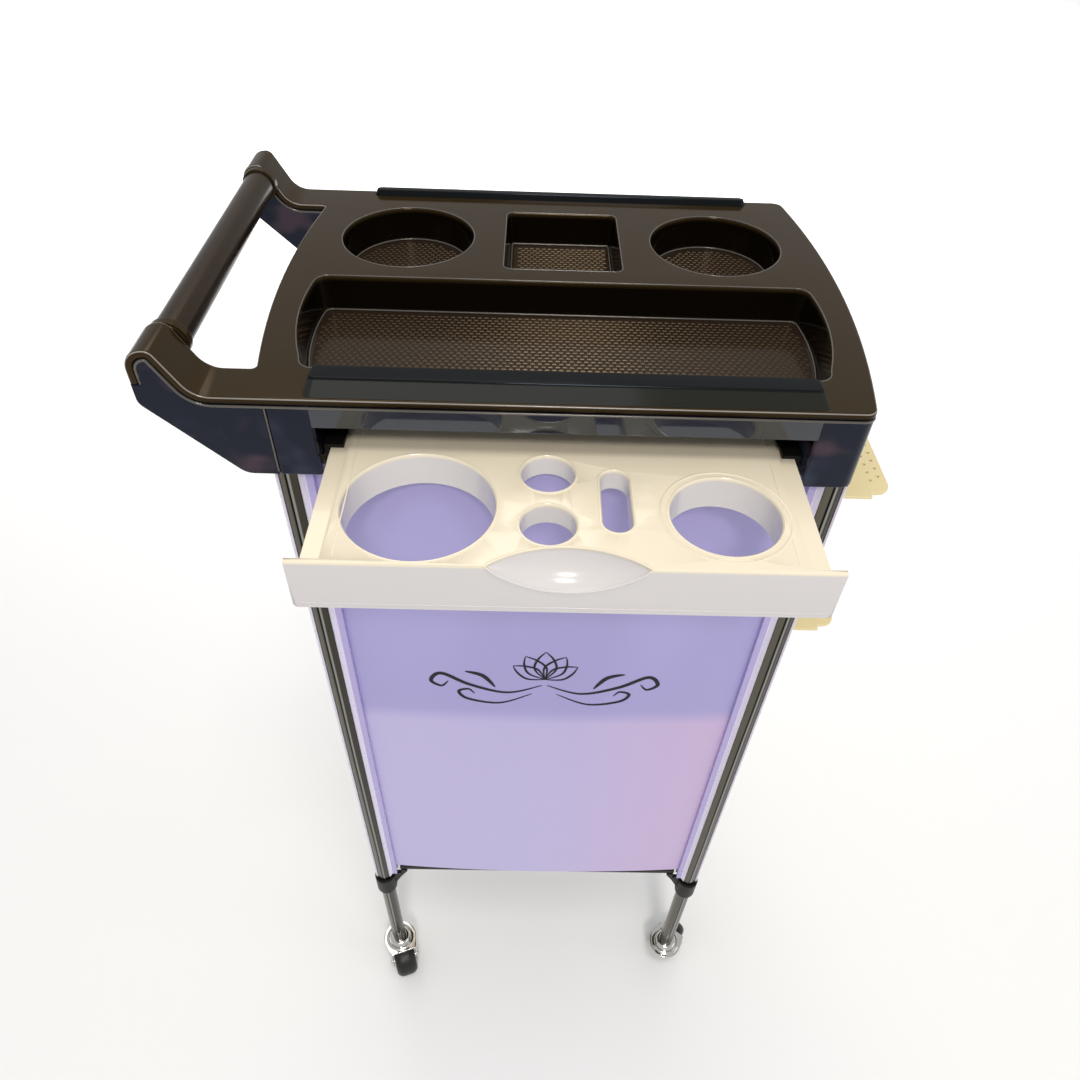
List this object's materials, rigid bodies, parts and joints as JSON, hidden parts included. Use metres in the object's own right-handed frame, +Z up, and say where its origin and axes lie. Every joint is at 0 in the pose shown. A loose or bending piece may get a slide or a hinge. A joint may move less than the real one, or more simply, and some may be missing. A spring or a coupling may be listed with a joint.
{
  "type": "spa trolley cart",
  "caption": "Spa trolley with a moulded black top of wells, a side handle, a pull-out holed tray, a lavender cabinet with sliding drawers, and swivel casters on tube posts.",
  "frame": {"origin": "bottom centre of the bounding box, on the floor", "axes": "+Z up, +X away from the handle towards the open drawer ends, -Y towards the pulled-out accessory tray"},
  "size_m": [0.4658, 0.3852, 0.9203],
  "materials": {
    "black_gloss": "polished black moulding",
    "black_plastic": "satin black moulding",
    "ivory_gloss": "smooth ivory moulding",
    "lavender_panel": "semi-gloss lavender sheet",
    "steel_tube": "dark bright-drawn steel tube",
    "chrome": "polished chrome plate",
    "wheel_black": "hard black tread"
  },
  "bodies": {
    "frame": {"top_tray": "black_gloss", "top_housing": "black_gloss", "handle_bar": "black_gloss", "handle_ring_front": "black_plastic", "handle_ring_rear": "black_plastic", "tray_runner_left": "black_plastic", "tray_runner_right": "black_plastic", "base_plate": "black_plastic", "front_panel": "lavender_panel", "rear_panel": "lavender_panel", "post_front_left": "steel_tube", "corner_profile_front_left": "lavender_panel", "corner_connector_front_left": "black_plastic", "caster_cap_front_left": "chrome", "post_front_right": "steel_tube", "corner_profile_front_right": "lavender_panel", "corner_connector_front_right": "black_plastic", "caster_cap_front_right": "chrome", "post_rear_left": "steel_tube", "corner_profile_rear_left": "lavender_panel", "corner_connector_rear_left": "black_plastic", "caster_cap_rear_left": "chrome", "post_rear_right": "steel_tube", "corner_profile_rear_right": "lavender_panel", "corner_connector_rear_right": "black_plastic", "caster_cap_rear_right": "chrome", "drawer_rail_1_front": "lavender_panel", "drawer_rail_1_rear": "lavender_panel", "drawer_rail_2_front": "lavender_panel", "drawer_rail_2_rear": "lavender_panel", "drawer_rail_3_front": "lavender_panel", "drawer_rail_3_rear": "lavender_panel", "drawer_rail_4_front": "lavender_panel", "drawer_rail_4_rear": "lavender_panel", "drawer_rail_5_front": "lavender_panel", "drawer_rail_5_rear": "lavender_panel"},
    "tray": {"accessory_tray": "ivory_gloss"},
    "drawer_1": {"drawer_1": "ivory_gloss"},
    "drawer_2": {"drawer_2": "ivory_gloss"},
    "drawer_3": {"drawer_3": "ivory_gloss"},
    "drawer_4": {"drawer_4": "ivory_gloss"},
    "drawer_5": {"drawer_5": "ivory_gloss"},
    "swivel_front_left": {"caster_fork_front_left": "chrome", "caster_axle_front_left": "chrome"},
    "wheel_front_left": {"caster_wheel_front_left": "wheel_black"},
    "swivel_front_right": {"caster_fork_front_right": "chrome", "caster_axle_front_right": "chrome"},
    "wheel_front_right": {"caster_wheel_front_right": "wheel_black"},
    "swivel_rear_left": {"caster_fork_rear_left": "chrome", "caster_axle_rear_left": "chrome"},
    "wheel_rear_left": {"caster_wheel_rear_left": "wheel_black"},
    "swivel_rear_right": {"caster_fork_rear_right": "chrome", "caster_axle_rear_right": "chrome"},
    "wheel_rear_right": {"caster_wheel_rear_right": "wheel_black"}
  },
  "joints": [
    {"name": "tray_slide", "type": "slide", "parent": "frame", "child": "tray", "axis": [0, -1, 0], "range_m": [-0.085, 0.075]},
    {"name": "drawer_1_slide", "type": "slide", "parent": "frame", "child": "drawer_1", "axis": [1, 0, 0], "range_m": [-0.233, 0.167]},
    {"name": "drawer_2_slide", "type": "slide", "parent": "frame", "child": "drawer_2", "axis": [1, 0, 0], "range_m": [-0.233, 0.167]},
    {"name": "drawer_3_slide", "type": "slide", "parent": "frame", "child": "drawer_3", "axis": [1, 0, 0], "range_m": [-0.2, 0.2]},
    {"name": "drawer_4_slide", "type": "slide", "parent": "frame", "child": "drawer_4", "axis": [1, 0, 0], "range_m": [-0.2, 0.2]},
    {"name": "drawer_5_slide", "type": "slide", "parent": "frame", "child": "drawer_5", "axis": [1, 0, 0], "range_m": [-0.2, 0.2]},
    {"name": "swivel_front_left_turn", "type": "hinge", "parent": "frame", "child": "swivel_front_left", "pos_m": [-0.1591, -0.09275, 0.045], "axis": [0, 0, 1], "continuous": true},
    {"name": "wheel_front_left_roll", "type": "hinge", "parent": "swivel_front_left", "child": "wheel_front_left", "pos_m": [-0.15294, -0.10966, 0.021], "axis": [0.9397, 0.342, 0], "continuous": true},
    {"name": "swivel_front_right_turn", "type": "hinge", "parent": "frame", "child": "swivel_front_right", "pos_m": [0.1829, -0.09275, 0.045], "axis": [0, 0, 1], "continuous": true},
    {"name": "wheel_front_right_roll", "type": "hinge", "parent": "swivel_front_right", "child": "wheel_front_right", "pos_m": [0.19322, -0.07801, 0.021], "axis": [-0.8192, 0.5736, 0], "continuous": true},
    {"name": "swivel_rear_left_turn", "type": "hinge", "parent": "frame", "child": "swivel_rear_left", "pos_m": [-0.1591, 0.17225, 0.045], "axis": [0, 0, 1], "continuous": true},
    {"name": "wheel_rear_left_roll", "type": "hinge", "parent": "swivel_rear_left", "child": "wheel_rear_left", "pos_m": [-0.16671, 0.15594, 0.021], "axis": [0.9063, -0.4226, 0], "continuous": true},
    {"name": "swivel_rear_right_turn", "type": "hinge", "parent": "frame", "child": "swivel_rear_right", "pos_m": [0.1829, 0.17225, 0.045], "axis": [0, 0, 1], "continuous": true},
    {"name": "wheel_rear_right_roll", "type": "hinge", "parent": "swivel_rear_right", "child": "wheel_rear_right", "pos_m": [0.1919, 0.15666, 0.021], "axis": [0.866, 0.5, 0], "continuous": true}
  ]
}
